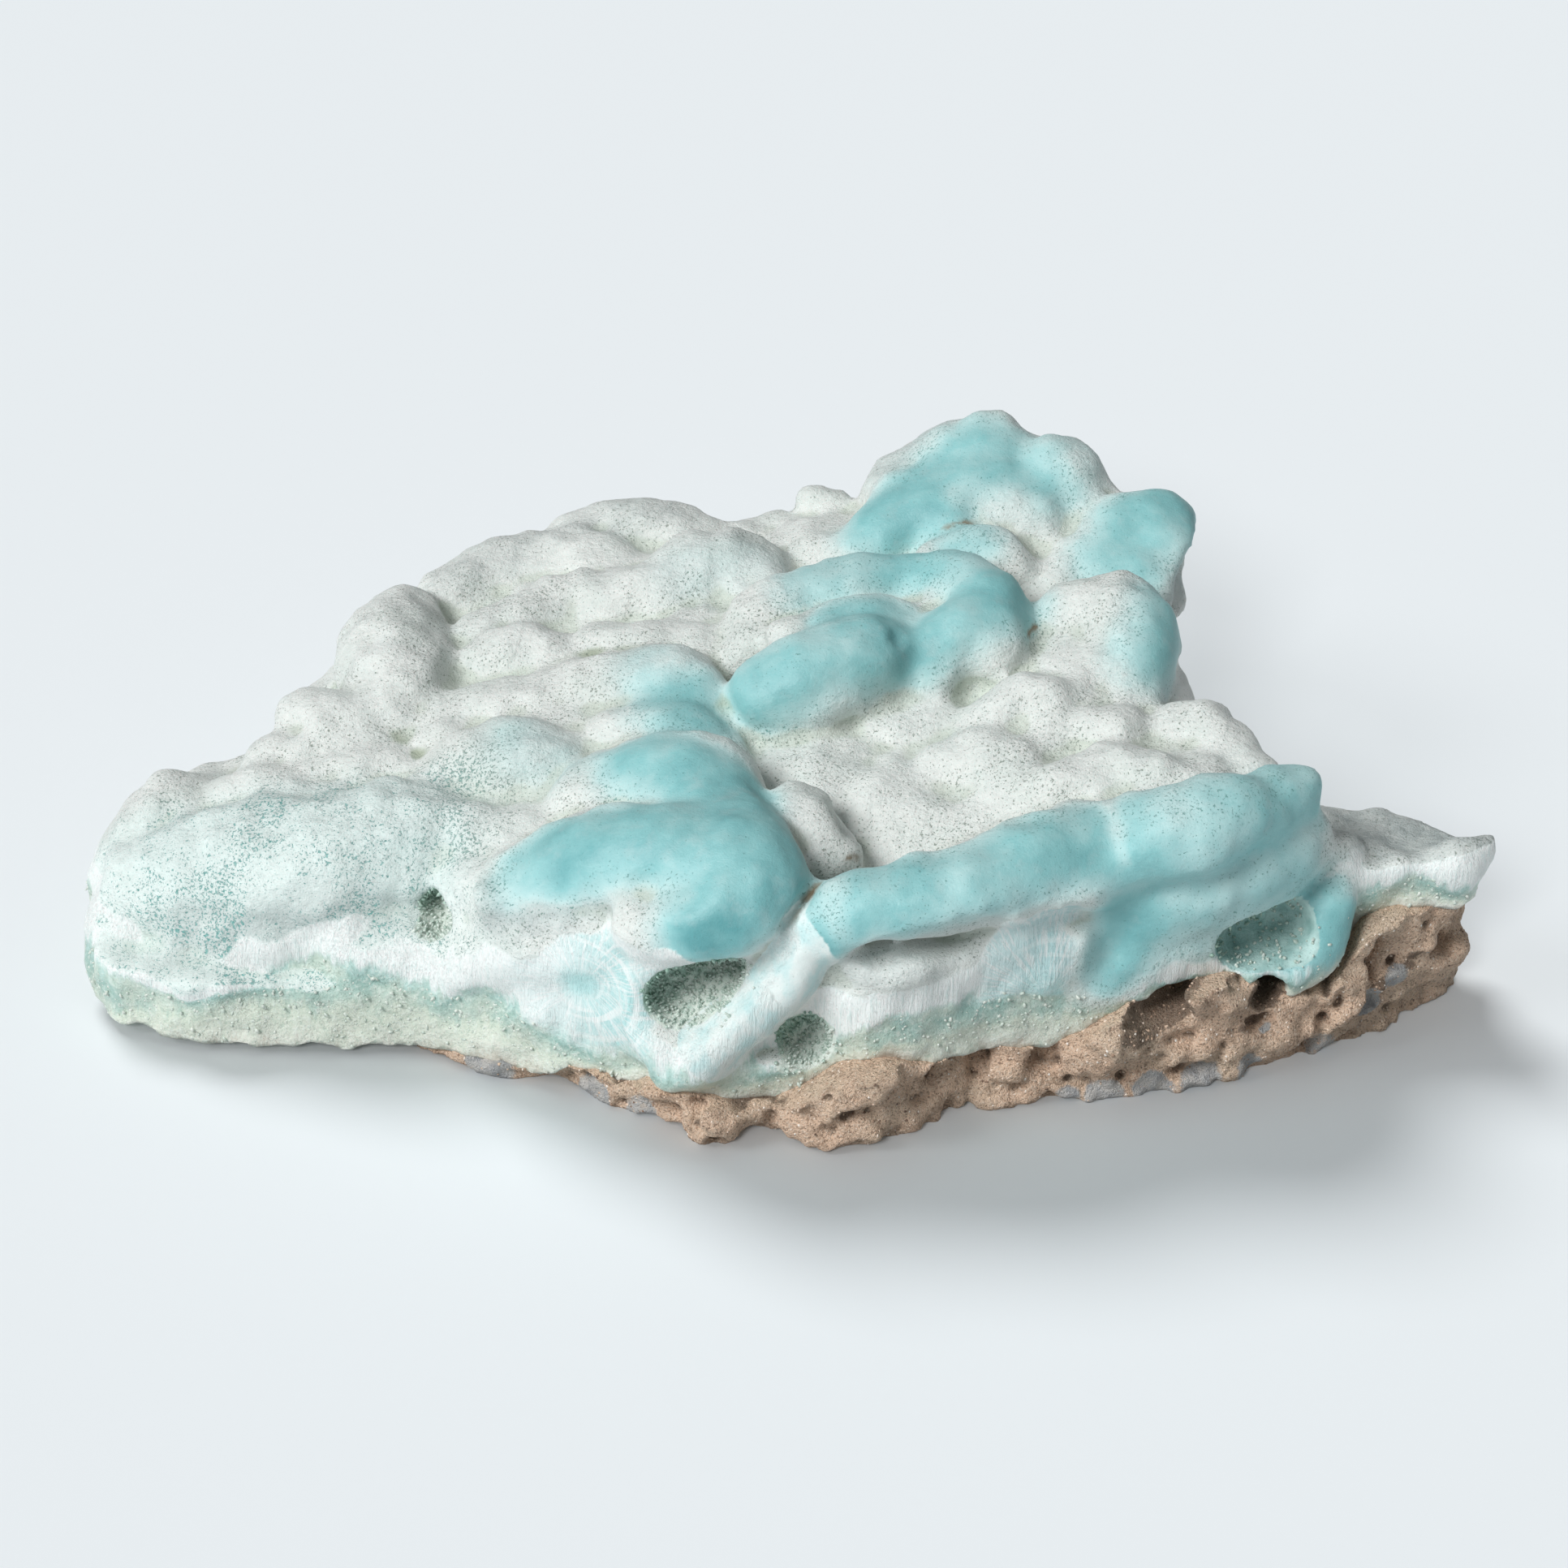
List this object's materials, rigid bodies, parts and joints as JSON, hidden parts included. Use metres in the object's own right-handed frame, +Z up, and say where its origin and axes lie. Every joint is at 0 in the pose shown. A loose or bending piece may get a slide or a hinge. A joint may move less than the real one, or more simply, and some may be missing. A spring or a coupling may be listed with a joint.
{
  "type": "blue aragonite mineral specimen",
  "caption": "Loose hand specimen: a crust of rounded blue-white aragonite with a broken, banded front and open pockets, still on a slab of brown sandy host rock.",
  "frame": {"origin": "on the flat part of the underside, under the middle of the object", "axes": "+Z up, +X to the right along the broken front, the broken front faces -Y"},
  "size_m": [0.1482, 0.0918, 0.0381],
  "materials": {
    "aragonite": "waxy to silky, blue-green on the lobes, chalky white in the hollows",
    "host_rock": "rough, sandy, matt"
  },
  "bodies": {
    "root": {"aragonite_crust": "aragonite", "host_rock": "host_rock"}
  },
  "joints": []
}
